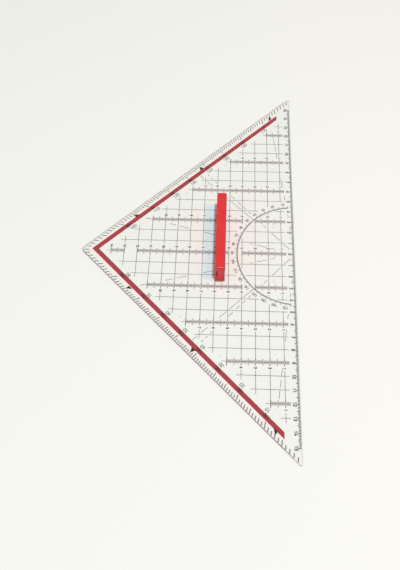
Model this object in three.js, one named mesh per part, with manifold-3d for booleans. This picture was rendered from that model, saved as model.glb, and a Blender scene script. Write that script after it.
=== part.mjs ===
// A drawing set square: a clear moulded plate with a facet along its long edge, and a handle that pegs into it.
// Millimetres, +Z up. The long edge runs along X on the -Y side, and the right angle points to +Y.
// The origin is under the middle of the plate's outline, on the surface that the plate's nubs rest on.
import * as THREE from "three";
import { mergeVertices } from "three/addons/utils/BufferGeometryUtils.js";
import Module from "manifold-3d";

// Driving dimensions of the plate.
const longEdge = 326; // between the two sharp corners, before the tips are rounded
const plateThickness = 2.4;
const tipRadius = 1.1;
const apexRadius = 2.2;
const facetWidth = 6.5; // from the long edge to where the top turns flat
const landHeight = 1.2; // what the facet leaves of the long edge

// Nubs that hold the plate off wet ink, in a row at one distance from every edge.
const nubHeight = 0.4;
const nubRadius = 0.8;
const nubTipRadius = 0.4;
const nubInset = 15.8;
const longRowShares = [0.2, 0.67, 1]; // from the middle of the long edge's row to its end
const legRowShares = [0.31, 0.55, 0.87]; // from the end of the long edge's row to the apex of the row

// Driving dimensions of the handle.
const handleLength = 68.2;
const handleHeight = 18.4; // above the plate's top
const handleSetback = 56.3; // from the long edge to the handle's middle line
const handleOffset = 7.7; // of the handle's middle from the plate's, along the long edge
const headWidth = 7.4;
const headDepth = 3.2;
const headRounding = 1.4;
const waistWidth = 5.6;
const footWidth = 7;
const footDepth = 1.8;
const endRounding = 0.8;

// The handle's pegs and the holes that take them.
const pegRadius = 2.3;
const pegSpacing = 46;
const pegClearance = 0.2; // all round, and short of the plate's underside
const pegChamfer = 0.5;
const splitWidth = 0.9;
const splitDepth = 1.7;

// How finely curves are stepped, how far a cut runs past a face, and how deep a joined form is rooted.
const cornerSteps = 6;
const flankSteps = 12;
const roundingSteps = 5;
const turnSteps = 32;
const nubTurnSteps = 16;
const overrun = 1;
const rootDepth = 0.5;

// Sizes that follow. A right angle between equal legs makes the plate half as deep as its long edge.
const plateDepth = longEdge / 2;
const outlineDepth = plateDepth - apexRadius * (Math.SQRT2 - 1);
const frontY = -outlineDepth / 2;
const plateTop = nubHeight + plateThickness;
const holeRadius = pegRadius + pegClearance;
const pegLength = plateThickness - pegClearance;
const pegPlaces = [-pegSpacing / 2, pegSpacing / 2];

const wasm = await Module();
wasm.setup();

// A closed three.js geometry as a solid that can be joined and cut.
function solidFrom(geometry) {
  const bare = geometry.index ? geometry.toNonIndexed() : geometry.clone();
  bare.deleteAttribute("normal");
  bare.deleteAttribute("uv");
  const merged = mergeVertices(bare);
  return new wasm.Manifold(
    new wasm.Mesh({
      numProp: 3,
      vertProperties: merged.attributes.position.array,
      triVerts: new Uint32Array(merged.index.array),
    }),
  );
}

// A solid as a flat-shaded three.js geometry.
function geometryFrom(solid) {
  const mesh = solid.getMesh();
  const geometry = new THREE.BufferGeometry()
    .setAttribute("position", new THREE.BufferAttribute(mesh.vertProperties, mesh.numProp))
    .setIndex(new THREE.BufferAttribute(mesh.triVerts, 1));
  const flat = geometry.toNonIndexed();
  flat.computeVertexNormals();
  return flat;
}

// A section drawn in Y and Z, run along X and centred on X = 0. Options are those of an extrusion.
function runAlongX(section, length, options) {
  const geometry = new THREE.ExtrudeGeometry(section, { ...options, depth: length });
  geometry.translate(0, 0, -length / 2);
  const turned = new THREE.Matrix4().makeBasis(
    new THREE.Vector3(0, 1, 0),
    new THREE.Vector3(0, 0, 1),
    new THREE.Vector3(1, 0, 0),
  );
  return geometry.applyMatrix4(turned);
}

// A profile of radius and height turned round Z, from a point on the axis up to another.
function turnRoundZ(profile, steps) {
  return new THREE.LatheGeometry(profile, steps).rotateX(Math.PI / 2);
}

// Adds the rounded corner of an outline that runs anticlockwise from one corner to the next.
function addRoundedCorner(path, before, corner, after, radius) {
  const toBefore = before.clone().sub(corner).normalize();
  const toAfter = after.clone().sub(corner).normalize();
  const reach = radius / Math.sin(toBefore.angleTo(toAfter) / 2);
  const bisector = toBefore.clone().add(toAfter).normalize();
  const centre = corner.clone().addScaledVector(bisector, reach);
  const startAngle = Math.atan2(toBefore.x, -toBefore.y);
  const endAngle = Math.atan2(-toAfter.x, toAfter.y);
  path.absarc(centre.x, centre.y, radius, startAngle, endAngle, false);
}

// The plate's outline with its long edge on Y = 0.
function plateOutline() {
  const leftTip = new THREE.Vector2(-longEdge / 2, 0);
  const rightTip = new THREE.Vector2(longEdge / 2, 0);
  const apex = new THREE.Vector2(0, plateDepth);
  const outline = new THREE.Shape();
  addRoundedCorner(outline, apex, leftTip, rightTip, tipRadius);
  addRoundedCorner(outline, leftTip, rightTip, apex, tipRadius);
  addRoundedCorner(outline, rightTip, apex, leftTip, apexRadius);
  outline.closePath();
  return outline;
}

// What is cut away above the facet: a wedge whose lower side falls from the plate's top to the edge's land.
function facetWedge() {
  const slope = (plateThickness - landHeight) / facetWidth;
  const rise = slope * overrun;
  const wedge = new THREE.Shape([
    new THREE.Vector2(-overrun, nubHeight + landHeight - rise),
    new THREE.Vector2(facetWidth + overrun, plateTop + rise),
    new THREE.Vector2(-overrun, plateTop + rise),
  ]);
  return solidFrom(runAlongX(wedge, longEdge, {}));
}

// A round hole through the plate for one peg.
function pegHole(x) {
  const height = plateThickness + 2 * overrun;
  const cutter = new THREE.CylinderGeometry(holeRadius, holeRadius, height, turnSteps);
  cutter.rotateX(Math.PI / 2);
  cutter.translate(x, handleSetback, nubHeight + plateThickness / 2);
  return solidFrom(cutter);
}

// One nub under the plate: a low cone with a flat tip, rooted in the plate.
function nub(place) {
  const profile = [
    new THREE.Vector2(0, 0),
    new THREE.Vector2(nubTipRadius, 0),
    new THREE.Vector2(nubRadius, nubHeight),
    new THREE.Vector2(nubRadius, nubHeight + rootDepth),
    new THREE.Vector2(0, nubHeight + rootDepth),
  ];
  return solidFrom(turnRoundZ(profile, nubTurnSteps).translate(place.x, place.y, 0));
}

// Where the nubs stand: the three rows make a smaller triangle inside the outline.
function nubPlaces() {
  const rowApexY = plateDepth - nubInset * Math.SQRT2;
  const rowHalf = rowApexY - nubInset;
  const longRow = longRowShares.map((share) => new THREE.Vector2(rowHalf * share, nubInset));
  const legRow = legRowShares.map(
    (share) => new THREE.Vector2(rowHalf * (1 - share), nubInset + rowHalf * share),
  );
  const rightHalf = [...longRow, ...legRow];
  return rightHalf.flatMap((place) => [place, new THREE.Vector2(-place.x, place.y)]);
}

// The clear plate, with its long edge on Y = 0 and its nubs standing on Z = 0.
function plateSolid() {
  const slab = new THREE.ExtrudeGeometry(plateOutline(), {
    depth: plateThickness,
    bevelEnabled: false,
    curveSegments: cornerSteps,
  });
  let plate = solidFrom(slab.translate(0, 0, nubHeight)).subtract(facetWedge());
  for (const place of pegPlaces) {
    plate = plate.subtract(pegHole(handleOffset + place));
  }
  for (const place of nubPlaces()) {
    plate = plate.add(nub(place));
  }
  return plate;
}

// The handle's section in Y and Z: a foot, flanks that draw in to a waist, and a head with rounded edges.
function handleSection() {
  const shoulder = handleHeight - headDepth;
  const flank = new THREE.SplineCurve([
    new THREE.Vector2(footWidth / 2, footDepth),
    new THREE.Vector2(waistWidth / 2, (footDepth + shoulder) / 2),
    new THREE.Vector2(headWidth / 2, shoulder),
  ]).getPoints(flankSteps);
  const rightSide = [new THREE.Vector2(footWidth / 2, 0), ...flank];
  const leftSide = rightSide.map((point) => new THREE.Vector2(-point.x, point.y)).reverse();
  const arcX = headWidth / 2 - headRounding;
  const arcY = handleHeight - headRounding;
  const section = new THREE.Shape();
  section.setFromPoints(rightSide);
  section.absarc(arcX, arcY, headRounding, 0, Math.PI / 2, false);
  section.absarc(-arcX, arcY, headRounding, Math.PI / 2, Math.PI, false);
  leftSide.forEach((point) => section.lineTo(point.x, point.y));
  section.closePath();
  return section;
}

// One split peg under the handle, chamfered at its end.
function peg(x) {
  const profile = [
    new THREE.Vector2(0, -pegLength),
    new THREE.Vector2(pegRadius - pegChamfer, -pegLength),
    new THREE.Vector2(pegRadius, pegChamfer - pegLength),
    new THREE.Vector2(pegRadius, rootDepth),
    new THREE.Vector2(0, rootDepth),
  ];
  const round = solidFrom(turnRoundZ(profile, turnSteps).translate(x, 0, 0));
  const split = new THREE.BoxGeometry(splitWidth, 2 * (pegRadius + overrun), splitDepth + overrun);
  split.translate(x, 0, -pegLength + (splitDepth - overrun) / 2);
  return round.subtract(solidFrom(split));
}

// The handle, with its foot on Z = 0 and its pegs below.
function handleSolid() {
  const bar = runAlongX(handleSection(), handleLength - 2 * endRounding, {
    bevelEnabled: true,
    bevelThickness: endRounding,
    bevelSize: endRounding,
    bevelOffset: -endRounding,
    bevelSegments: roundingSteps,
    curveSegments: roundingSteps,
  });
  return pegPlaces.reduce((handle, place) => handle.add(peg(place)), solidFrom(bar));
}

const clearAcrylic = new THREE.MeshStandardMaterial({
  color: 0xeef2f0,
  roughness: 0.06,
  metalness: 0,
  transparent: true,
  opacity: 0.35,
});
const redPlastic = new THREE.MeshStandardMaterial({ color: 0xe04040, roughness: 0.35, metalness: 0 });

const plate = new THREE.Mesh(geometryFrom(plateSolid()), clearAcrylic);
plate.name = "plate";
plate.position.set(0, frontY, 0);

const handle = new THREE.Mesh(geometryFrom(handleSolid()), redPlastic);
handle.name = "handle";
handle.position.set(handleOffset, frontY + handleSetback, plateTop);

const setSquare = new THREE.Group();
setSquare.add(plate, handle);

export default setSquare;
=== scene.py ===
"""A clear drawing set square with a red bar handle: its looks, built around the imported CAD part.

Blender's objects are in metres, in the part's own frame: +X along the long edge, +Y towards the right angle, +Z up.
The sizes in this file are in millimetres. A place on the drawing is (x, v): x along the long edge from its middle,
and v away from the long edge. An angle on the drawing is in degrees from +X, anticlockwise as seen from above.
"""
import logging
import math
from dataclasses import dataclass, field
from enum import Enum
from functools import partial
from typing import Any, Iterable, Mapping, Sequence

import bmesh
import bpy
from mathutils import Matrix, Vector


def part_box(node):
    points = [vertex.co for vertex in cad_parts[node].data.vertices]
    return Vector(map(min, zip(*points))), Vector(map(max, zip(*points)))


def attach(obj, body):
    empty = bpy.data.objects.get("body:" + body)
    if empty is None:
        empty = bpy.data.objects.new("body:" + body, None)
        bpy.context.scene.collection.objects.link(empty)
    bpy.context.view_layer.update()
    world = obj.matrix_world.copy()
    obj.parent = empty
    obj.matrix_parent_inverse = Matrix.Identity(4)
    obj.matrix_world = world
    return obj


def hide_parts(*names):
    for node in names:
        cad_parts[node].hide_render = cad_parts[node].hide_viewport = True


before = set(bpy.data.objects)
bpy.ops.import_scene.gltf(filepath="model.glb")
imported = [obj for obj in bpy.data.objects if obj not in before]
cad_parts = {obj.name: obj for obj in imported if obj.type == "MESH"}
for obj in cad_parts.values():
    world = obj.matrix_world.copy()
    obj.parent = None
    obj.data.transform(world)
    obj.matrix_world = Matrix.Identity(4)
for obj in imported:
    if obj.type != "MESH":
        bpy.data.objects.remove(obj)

MM = 0.001
MM_PER_CM = 10
TENS = range(10, 171, 10)  # the degrees that have numbers
RIGHT_ANGLE = 90
LEG_TURN = 45.0
READ_FROM_APEX = 180.0  # how far numbers are turned that read from the right angle's side
SRGB_KNEE, SRGB_SLOPE, SRGB_OFFSET, SRGB_GAMMA = 0.04045, 12.92, 0.055, 2.4
LOG = logging.getLogger("set_square")
Colour = tuple[float, float, float, float]
Place = tuple[float, float]
Span = tuple[float, float]


def linear(hex_colour: str) -> Colour:
    """Turn an sRGB hex colour into the linear colour that a shader takes.

    Args:
        hex_colour: six hex digits, with or without a leading #.

    Returns:
        Red, green, blue and an alpha of 1, all linear.
    """
    digits = hex_colour.lstrip("#")
    parts = [int(digits[i : i + 2], 16) / 255 for i in (0, 2, 4)]
    red, green, blue = (
        c / SRGB_SLOPE if c <= SRGB_KNEE else ((c + SRGB_OFFSET) / (1 + SRGB_OFFSET)) ** SRGB_GAMMA for c in parts
    )
    return red, green, blue, 1.0


def add_node(
    tree: bpy.types.NodeTree,
    kind: str,
    inputs: Mapping[Any, Any] | None = None,
    **settings: Any,
) -> bpy.types.Node:
    """Add a node with its settings, socket values and links.

    Args:
        tree: the tree that the node goes into.
        kind: the node's Blender type name.
        inputs: for each input, by name or number, a value or the socket that feeds it.
        **settings: the node's own properties.

    Returns:
        The new node.
    """
    node = tree.nodes.new(kind)
    for name, value in settings.items():
        setattr(node, name, value)
    for key, value in (inputs or {}).items():
        if isinstance(value, bpy.types.NodeSocket):
            tree.links.new(value, node.inputs[key])
        else:
            node.inputs[key].default_value = value
    return node


def polar(radius: float, degrees: float) -> Place:
    """The place at a distance from the origin and an angle on the drawing."""
    return radius * math.cos(math.radians(degrees)), radius * math.sin(math.radians(degrees))


def skin(mesh: bmesh.types.BMesh, rings: Sequence[Sequence[Sequence[float]]], looped: bool = False) -> None:
    """Close a skin over rings that have as many points each.

    Args:
        mesh: the bmesh that it goes into.
        rings: the rings' points, anticlockwise as seen from where the last ring looks.
        looped: True if the last ring leads back to the first, which leaves no ends to close.
    """
    made = [[mesh.verts.new(point) for point in ring] for ring in rings]
    if not looped:
        mesh.faces.new(made[0][::-1])
        mesh.faces.new(made[-1])
    for near, far in zip(made, made[1:] + made[:1] if looped else made[1:]):
        for i in range(len(near)):
            j = (i + 1) % len(near)
            mesh.faces.new((near[i], near[j], far[j], far[i]))


def plain(mesh: bmesh.types.BMesh, name: str) -> bpy.types.Mesh:
    """Turn a finished bmesh into a mesh.

    Args:
        mesh: the bmesh, which is freed.
        name: the mesh's name.

    Returns:
        The mesh, in the bmesh's own unit.
    """
    data = bpy.data.meshes.new(name)
    mesh.to_mesh(data)
    mesh.free()
    return data


def drawn(mesh: bmesh.types.BMesh, name: str, finish: "Finish") -> bpy.types.Object:
    """Turn a finished bmesh in metres into an object at the origin.

    Args:
        mesh: the bmesh, which is freed.
        name: the piece's name.
        finish: the finish that its faces take.

    Returns:
        The object, linked to the scene.
    """
    data = plain(mesh, name)
    data.materials.append(finish.material())
    piece = bpy.data.objects.new(name, data)
    bpy.context.scene.collection.objects.link(piece)
    return piece


def evaluated(piece: bpy.types.Object) -> bpy.types.Mesh:
    """Take an object's mesh as its modifiers leave it, and drop them.

    Args:
        piece: an object with live modifiers.

    Returns:
        The mesh.
    """
    bpy.context.view_layer.update()
    graph = bpy.context.evaluated_depsgraph_get()
    final = bpy.data.meshes.new_from_object(piece.evaluated_get(graph))
    piece.modifiers.clear()
    return final


def carve(piece: bpy.types.Object, finish: "Finish", tools: Mapping[str, tuple[bmesh.types.BMesh, str]]) -> None:
    """Join forms to a piece or cut them from it, once its own modifiers have had their turn.

    Args:
        piece: the piece, which gets a plain mesh.
        finish: the finish of the faces that the forms leave.
        tools: under each form's name, the form in metres and "UNION" or "DIFFERENCE".
    """
    forms = []
    for name, (mesh, operation) in tools.items():
        forms.append(drawn(mesh, name, finish))
        step = piece.modifiers.new(name, "BOOLEAN")
        step.object, step.operation, step.solver = forms[-1], operation, "EXACT"
    old, piece.data = piece.data, evaluated(piece)
    piece.data.name = piece.name
    bpy.data.meshes.remove(old)
    for form in forms:
        bpy.data.objects.remove(form)


def smoothed(points: Sequence[Place], steps: int, closed: bool = False) -> list[Place]:
    """Run a smooth curve through control points, as a draughtsman's spline does.

    Args:
        points: the control points.
        steps: how many steps there are between two of them.
        closed: True if the last point leads back to the first.

    Returns:
        The points of the curve, control points included.
    """
    count = len(points)
    spans = count if closed else count - 1
    curve: list[Place] = []

    def control(i: int) -> Vector:
        """The control point at a place that may lie past either end."""
        return Vector(points[i % count] if closed else points[min(max(i, 0), count - 1)])

    for i in range(spans):
        before, start, end, after = (control(i + k) for k in (-1, 0, 1, 2))
        for step in range(steps):
            t = step / steps
            at = 0.5 * (
                2 * start
                + (end - before) * t
                + (2 * before - 5 * start + 4 * end - after) * t**2
                + (3 * start - before - 3 * end + after) * t**3
            )
            curve.append((at.x, at.y))
    if not closed:
        curve.append(tuple(points[-1]))
    return curve


# ---------------------------------------------------------------- finishes


@dataclass(frozen=True)
class Finish:
    """What a surface is made of and how it was made. Each kind builds its own nodes."""

    name: str

    def material(self) -> bpy.types.Material:
        """Give the finish's material, which is made the first time.

        Returns:
            The material.
        """
        found = bpy.data.materials.get(self.name)
        if found is None:
            found = bpy.data.materials.new(self.name)
            found.use_nodes = True
            found.node_tree.nodes.clear()
            self.build(found.node_tree)
        return found

    def build(self, tree: bpy.types.NodeTree) -> None:
        """Fill the material's empty node tree."""
        raise NotImplementedError

    @staticmethod
    def pattern(
        tree: bpy.types.NodeTree,
        size_mm: Sequence[float],
        low: float = 0.0,
        high: float = 1.0,
        reach: Span = (0.3, 0.7),
        turn: float = 0.0,
        detail: float = 2.0,
    ) -> bpy.types.NodeSocket:
        """Add a noise whose blobs have a real size, read from Object coordinates and mapped to a range of numbers.

        Args:
            tree: the material's tree.
            size_mm: the blobs' size along each axis.
            low: the number at the reach's lower end.
            high: the number at its upper end.
            reach: the part of the noise's values that is used.
            turn: how far the pattern is turned about Z, in degrees.
            detail: the noise's detail.

        Returns:
            The mapped number.
        """
        scaled = add_node(
            tree,
            "ShaderNodeMapping",
            {
                "Vector": add_node(tree, "ShaderNodeTexCoord").outputs["Object"],
                "Rotation": (0.0, 0.0, math.radians(turn)),
                "Scale": tuple(1 / (size * MM) for size in size_mm),
            },
        )
        noise = add_node(
            tree, "ShaderNodeTexNoise", {"Vector": scaled.outputs[0], "Scale": 1.0, "Detail": detail}
        )
        limits = {"From Min": reach[0], "From Max": reach[1], "To Min": low, "To Max": high}
        return add_node(tree, "ShaderNodeMapRange", {"Value": noise.outputs[0], **limits}).outputs[0]


@dataclass(frozen=True)
class MouldedAcrylic(Finish):
    """Clear acrylic, injection moulded in a polished tool.

    The eye sees through it without a tint, meets a crisp gloss on its faces and edges, and close up finds the
    hairline scratches that paper and pencils leave. Light crosses it to what lies below, a little weakened.
    """

    body: str = "fdfefd"
    crossing: str = "ffffff"  # what lamp light keeps at each face
    ior: float = 1.49
    polish: float = 0.004
    scratched: float = 0.05
    scratch_mm: tuple[float, float, float] = (0.25, 30.0, 30.0)
    scratch_reach: Span = (0.68, 0.8)
    scratch_turn: float = 24.0
    scratch_detail: float = 3.0

    def build(self, tree: bpy.types.NodeTree) -> None:
        """Glass for what the eye sees, and a plain clear pane for lamp and bounced light.

        Args:
            tree: the material's empty tree.
        """
        scratches = (self.scratch_reach, self.scratch_turn, self.scratch_detail)
        roughness = self.pattern(tree, self.scratch_mm, self.polish, self.scratched, *scratches)
        glass = add_node(
            tree,
            "ShaderNodeBsdfPrincipled",
            {
                "Base Color": linear(self.body),
                "Roughness": roughness,
                "IOR": self.ior,
                "Transmission Weight": 1.0,
            },
        )
        pane = add_node(tree, "ShaderNodeBsdfTransparent", {"Color": linear(self.crossing)})
        path = add_node(tree, "ShaderNodeLightPath")
        unbent = add_node(
            tree,
            "ShaderNodeMath",
            {0: path.outputs["Is Shadow Ray"], 1: path.outputs["Is Diffuse Ray"]},
            operation="MAXIMUM",
        )
        both = add_node(
            tree, "ShaderNodeMixShader", {0: unbent.outputs[0], 1: glass.outputs[0], 2: pane.outputs[0]}
        )
        add_node(tree, "ShaderNodeOutputMaterial", {"Surface": both.outputs[0]})


@dataclass(frozen=True)
class ScreenPrintedInk(Finish):
    """Solvent ink, screen printed on acrylic and seen through it.

    It is matt and dense, with the mesh's faint mottling. The acrylic wets it, so it has no gloss of its own. It lies
    so close over the paper that the eye meets no shadow beside it: lamp light passes it.
    """

    colour: str = "26211e"
    thin: str = "3a3531"
    mottle_mm: float = 0.35
    roughness: Span = (0.55, 0.67)

    def build(self, tree: bpy.types.NodeTree) -> None:
        """A matt coat whose depth of colour wanders a little.

        Args:
            tree: the material's empty tree.
        """
        size = (self.mottle_mm,) * 3
        colours = {6: linear(self.colour), 7: linear(self.thin)}
        tint = add_node(tree, "ShaderNodeMix", {0: self.pattern(tree, size), **colours}, data_type="RGBA")
        coat = add_node(
            tree,
            "ShaderNodeBsdfPrincipled",
            {
                "Base Color": tint.outputs[2],
                "Roughness": self.pattern(tree, size, *self.roughness),
                "Specular IOR Level": 0.0,
            },
        )
        passed = add_node(tree, "ShaderNodeBsdfTransparent")
        shadow = add_node(tree, "ShaderNodeLightPath").outputs["Is Shadow Ray"]
        both = add_node(tree, "ShaderNodeMixShader", {0: shadow, 1: coat.outputs[0], 2: passed.outputs[0]})
        add_node(tree, "ShaderNodeOutputMaterial", {"Surface": both.outputs[0]})


@dataclass(frozen=True)
class MouldedABS(Finish):
    """Red ABS, injection moulded in a lightly spark-eroded tool.

    It gives an even, warm red with a satin gloss, a grain too fine to see from far off, and soft flow marks.
    """

    colour: str = "dd2d2f"
    flow: str = "e33638"
    flow_mm: tuple[float, float, float] = (18.0, 5.0, 5.0)
    grain_mm: float = 0.22
    grain_depth_mm: float = 0.0015
    satin: Span = (0.27, 0.33)

    def build(self, tree: bpy.types.NodeTree) -> None:
        """Colour from the flow marks, gloss and bump from the tool's grain.

        Args:
            tree: the material's empty tree.
        """
        grain = {"size_mm": (self.grain_mm,) * 3, "detail": 1.0}
        height = self.pattern(tree, reach=(0.0, 1.0), **grain)
        bump = add_node(
            tree, "ShaderNodeBump", {"Height": height, "Strength": 0.5, "Distance": self.grain_depth_mm * MM}
        )
        colours = {6: linear(self.colour), 7: linear(self.flow)}
        tint = add_node(tree, "ShaderNodeMix", {0: self.pattern(tree, self.flow_mm), **colours}, data_type="RGBA")
        plastic = add_node(
            tree,
            "ShaderNodeBsdfPrincipled",
            {
                "Base Color": tint.outputs[2],
                "Roughness": self.pattern(tree, low=self.satin[0], high=self.satin[1], **grain),
                "IOR": 1.53,
                "Specular IOR Level": 0.32,
                "Normal": bump.outputs[0],
            },
        )
        add_node(tree, "ShaderNodeOutputMaterial", {"Surface": plastic.outputs[0]})


@dataclass(frozen=True)
class DrawingPaper(Finish):
    """Uncoated drawing paper: matt, pale and a touch warm, with a felt that shows only close up."""

    colour: str = "f5f3ec"
    felt: str = "f4f2ea"
    felt_mm: float = 0.8

    def build(self, tree: bpy.types.NodeTree) -> None:
        """A matt sheet with a faint felt.

        Args:
            tree: the material's empty tree.
        """
        felt = self.pattern(tree, (self.felt_mm,) * 3, detail=4.0)
        colours = {6: linear(self.colour), 7: linear(self.felt)}
        tint = add_node(tree, "ShaderNodeMix", {0: felt, **colours}, data_type="RGBA")
        looks = {"Base Color": tint.outputs[2], "Roughness": 0.9, "Specular IOR Level": 0.0}
        sheet = add_node(tree, "ShaderNodeBsdfPrincipled", looks)
        add_node(tree, "ShaderNodeOutputMaterial", {"Surface": sheet.outputs[0]})


CLEAR = MouldedAcrylic("clear_moulded_acrylic")
# The walls are drawn along the tool when the plate leaves it, and seen through the plate's whole width: a little
# rougher than the faces. Their grey body colour is painted shade: the dark outline that refraction gives every edge.
# They turn lamp light aside, which leaves a thin shade along every edge.
CLEAR_WALL_PAINTED_SHADE = MouldedAcrylic(
    "clear_moulded_acrylic_wall", body="b0b8b6", crossing="e2e2e2", polish=0.32, scratched=0.42
)
BLACK_INK = ScreenPrintedInk("black_screen_printed_ink")
# Ticks a millimetre or less apart are too fine for the picture. Drawn wider in a paler ink, they read as even rows.
THIN_INK = ScreenPrintedInk("thin_black_screen_printed_ink", colour="84706a", thin="947e78")
FINE_INK = ScreenPrintedInk("fine_black_screen_printed_ink", colour="aea7a4", thin="b6b0ad")
RED_INK = ScreenPrintedInk("red_screen_printed_ink", colour="a63638", thin="b04246")
RED_ABS = MouldedABS("red_moulded_abs")
PAPER = DrawingPaper("pale_drawing_paper")


# ---------------------------------------------------------------- the clear plate


@dataclass
class ClearPlate:
    """The moulded triangle: a facet along its long edge, broken edges, nubs below and two peg holes."""

    long_edge: float = 326.0
    thickness: float = 2.4
    tip_radius: float = 1.1
    apex_radius: float = 2.2
    corner_steps: int = 14
    facet_width: float = 6.5
    land: float = 1.2
    edge_break: float = 0.2
    break_steps: int = 3
    break_angle: float = 30.0  # edges that turn less than this stay as they are
    wall_rise: float = 0.5  # a face is a wall if its normal rises less than this
    nub_height: float = 0.4
    nub_profile: tuple[Place, ...] = ((0.4, 0.0), (0.58, 0.07), (0.7, 0.22), (0.8, 0.4))
    nub_root: float = 0.3
    nub_steps: int = 16
    nub_inset: float = 15.8
    long_row: tuple[float, ...] = (0.2, 0.67, 1.0)
    leg_row: tuple[float, ...] = (0.31, 0.55, 0.87)
    hole_radius: float = 2.5
    hole_steps: int = 40
    overrun: float = 1.0  # how far a cut runs past a face
    hole_places: tuple[Place, ...] = ((7.7 - 23.0, 56.3), (7.7 + 23.0, 56.3))
    front_y: float = field(init=False)

    def __post_init__(self) -> None:
        """The long edge's Y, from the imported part."""
        self.front_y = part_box("plate")[0].y / MM

    def at(self, x: float, v: float, z: float = 0.0) -> Vector:
        """The point in metres of a place on the drawing and a height, both in millimetres."""
        return Vector((x, v + self.front_y, z)) * MM

    def corner(self, before: Place, tip: Place, after: Place, radius: float) -> list[Place]:
        """The points of one rounded corner.

        Args:
            before: the corner before it.
            tip: the sharp corner.
            after: the corner after it.
            radius: the rounding's radius.

        Returns:
            The rounding's points, anticlockwise.
        """
        tip_at = Vector(tip)
        to_before, to_after = ((Vector(p) - tip_at).normalized() for p in (before, after))
        half = to_before.angle(to_after) / 2
        centre = tip_at + (to_before + to_after).normalized() * radius / math.sin(half)
        start = math.atan2(to_before.x, -to_before.y)
        turn = math.pi - 2 * half
        angles = [start + turn * i / self.corner_steps for i in range(self.corner_steps + 1)]
        return [(centre.x + radius * math.cos(a), centre.y + radius * math.sin(a)) for a in angles]

    def outline(self) -> list[Place]:
        """Draw the plate's outline.

        Returns:
            Its points on the drawing, anticlockwise.
        """
        half = self.long_edge / 2
        left, right, apex = (-half, 0.0), (half, 0.0), (0.0, half)
        return [
            *self.corner(apex, left, right, self.tip_radius),
            *self.corner(left, right, apex, self.tip_radius),
            *self.corner(right, apex, left, self.apex_radius),
        ]

    def nub_places(self) -> list[Place]:
        """Find where the nubs stand, at one distance from every edge.

        Returns:
            Their places on the drawing.
        """
        row_apex = self.long_edge / 2 - self.nub_inset * math.sqrt(2)
        half = row_apex - self.nub_inset
        right = [(half * s, self.nub_inset) for s in self.long_row]
        right += [(half * (1 - s), self.nub_inset + half * s) for s in self.leg_row]
        return right + [(-x, v) for x, v in right]

    def slab(self) -> bmesh.types.BMesh:
        """Make the plain sheet with its facet cut, before its edges are broken.

        Returns:
            The sheet in metres, with its walls in the second material slot.
        """
        mesh = bmesh.new()
        bottom, top = self.nub_height, self.nub_height + self.thickness
        base = mesh.faces.new([mesh.verts.new(self.at(x, v, bottom)) for x, v in self.outline()])
        raised = bmesh.ops.extrude_face_region(mesh, geom=[base])["geom"]
        lift = [g for g in raised if isinstance(g, bmesh.types.BMVert)]
        bmesh.ops.translate(mesh, verts=lift, vec=Vector((0, 0, (top - bottom) * MM)))
        slope = math.atan2(self.thickness - self.land, self.facet_width)
        cut = bmesh.ops.bisect_plane(
            mesh,
            geom=[*mesh.verts, *mesh.edges, *mesh.faces],
            plane_co=self.at(0, 0, bottom + self.land),
            plane_no=Vector((0, -math.sin(slope), math.cos(slope))),
            clear_outer=True,
        )
        rim = [g for g in cut["geom_cut"] if isinstance(g, bmesh.types.BMEdge)]
        bmesh.ops.edgenet_fill(mesh, edges=rim)
        bmesh.ops.recalc_face_normals(mesh, faces=mesh.faces)
        for face in mesh.faces:
            face.material_index = int(abs(face.normal.z) < self.wall_rise)
        return mesh

    def turned(self, mesh: bmesh.types.BMesh, place: Place, profile: Sequence[Place], steps: int) -> None:
        """Add a closed turned form.

        Args:
            mesh: the bmesh that it goes into.
            place: its axis on the drawing.
            profile: radius and height from its lower face to its upper one.
            steps: how many sides it has.
        """
        angles = [2 * math.pi * i / steps for i in range(steps)]
        rings = [
            [self.at(place[0] + radius * math.cos(a), place[1] + radius * math.sin(a), z) for a in angles]
            for radius, z in profile
        ]
        skin(mesh, rings)

    def build(self) -> bpy.types.Object:
        """Make the plate's piece.

        Returns:
            The plate as one closed solid, dressed and riding on its body.
        """
        plate = drawn(self.slab(), "clear_plate", CLEAR)
        # The walls and broken edges take the wall finish, whose grey body colour is painted shade along the outline.
        plate.data.materials.append(CLEAR_WALL_PAINTED_SHADE.material())
        breaks = plate.modifiers.new("broken_edges", "BEVEL")
        breaks.material = 1
        breaks.width, breaks.segments = self.edge_break * MM, self.break_steps
        breaks.limit_method, breaks.angle_limit = "ANGLE", math.radians(self.break_angle)

        nubs, holes = bmesh.new(), bmesh.new()
        profile = [*self.nub_profile, (self.nub_profile[-1][0], self.nub_height + self.nub_root)]
        for place in self.nub_places():
            self.turned(nubs, place, profile, self.nub_steps)
        above = self.nub_height + self.thickness + self.overrun
        for place in self.hole_places:
            self.turned(holes, place, [(self.hole_radius, z) for z in (-self.overrun, above)], self.hole_steps)
        carve(plate, CLEAR, {"nub_tool": (nubs, "UNION"), "hole_tool": (holes, "DIFFERENCE")})
        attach(plate, "plate")
        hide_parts("plate")
        LOG.info("clear_plate: %d faces", len(plate.data.polygons))
        return plate


# ---------------------------------------------------------------- the handle


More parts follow.
